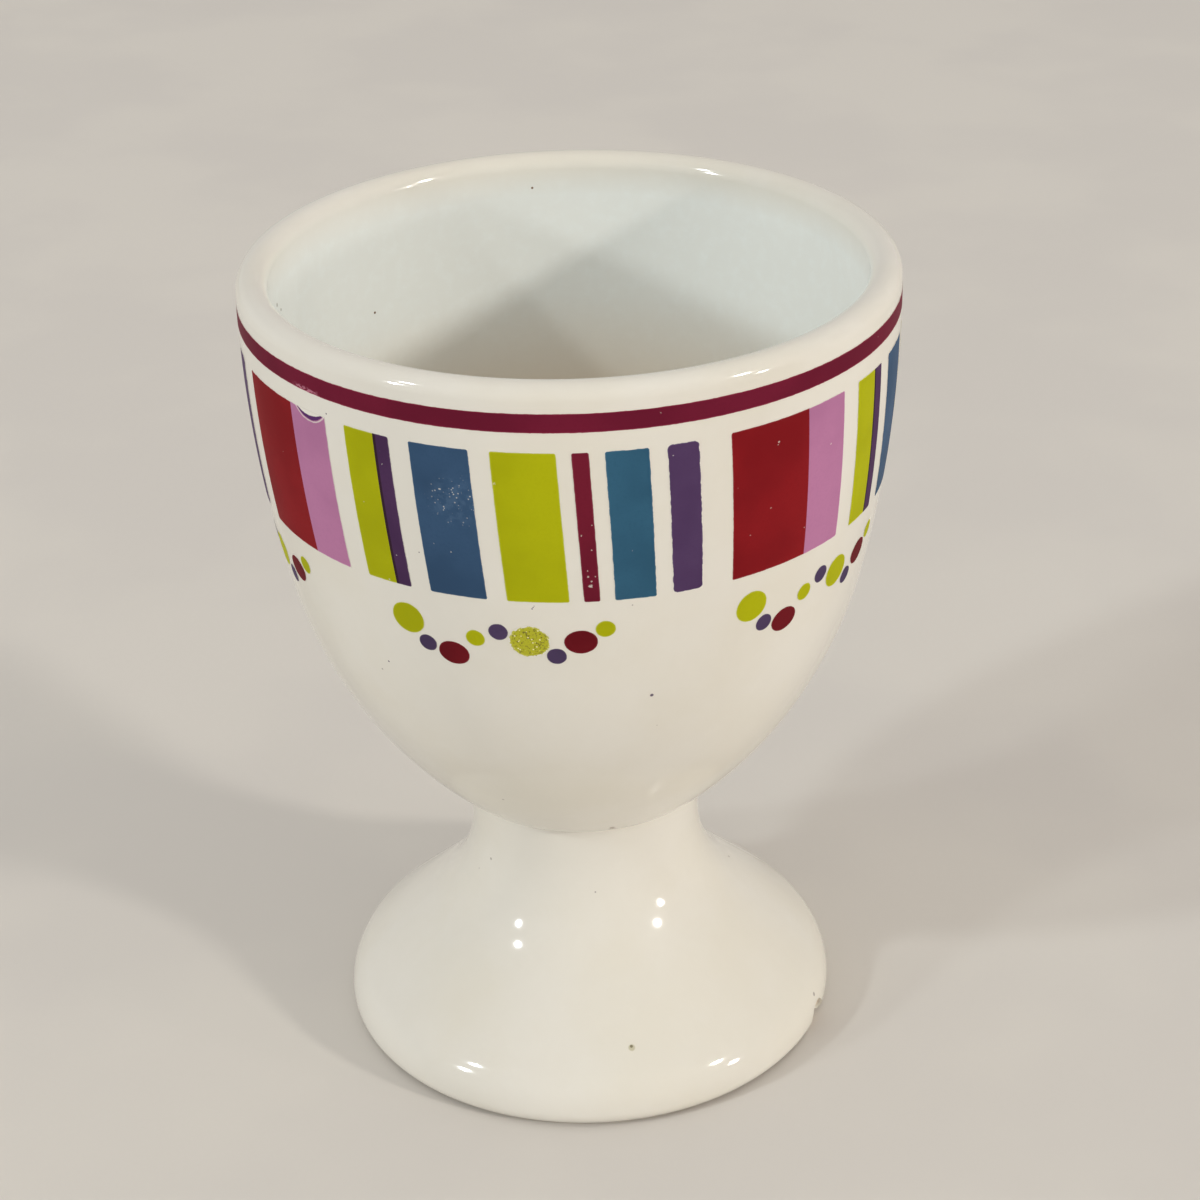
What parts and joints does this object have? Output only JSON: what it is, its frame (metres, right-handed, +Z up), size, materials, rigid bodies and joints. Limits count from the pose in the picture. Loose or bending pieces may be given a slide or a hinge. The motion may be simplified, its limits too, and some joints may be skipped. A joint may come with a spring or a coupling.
{
  "type": "egg cup",
  "caption": "Footed ceramic egg cup with a round bowl on a flared hollow foot, white glaze and a printed band of upright stripes over swags of dots.",
  "frame": {"origin": "middle of the foot ring, on the table", "axes": "+Z up along the cup's axis, -Y towards the front of the printed pattern"},
  "size_m": [0.0502, 0.0502, 0.0668],
  "materials": {
    "earthenware": "matt fired body",
    "slip": "matt fired slip",
    "white_glaze": "glossy white glaze",
    "maroon_enamel": "glossy printed enamel",
    "lilac_enamel": "glossy printed enamel",
    "lime_enamel": "glossy printed enamel",
    "violet_enamel": "glossy printed enamel",
    "blue_enamel": "glossy printed enamel"
  },
  "bodies": {
    "root": {"bowl_body": "earthenware", "foot_body": "earthenware", "joining_slip": "slip", "glaze_coat": "white_glaze", "foot_hollow_glaze": "white_glaze", "rim_band": "maroon_enamel", "maroon_stripes": "maroon_enamel", "lilac_stripes": "lilac_enamel", "lime_stripes": "lime_enamel", "violet_stripes": "violet_enamel", "blue_stripes": "blue_enamel", "lime_dots": "lime_enamel", "maroon_dots": "maroon_enamel", "violet_dots": "violet_enamel"}
  },
  "joints": []
}
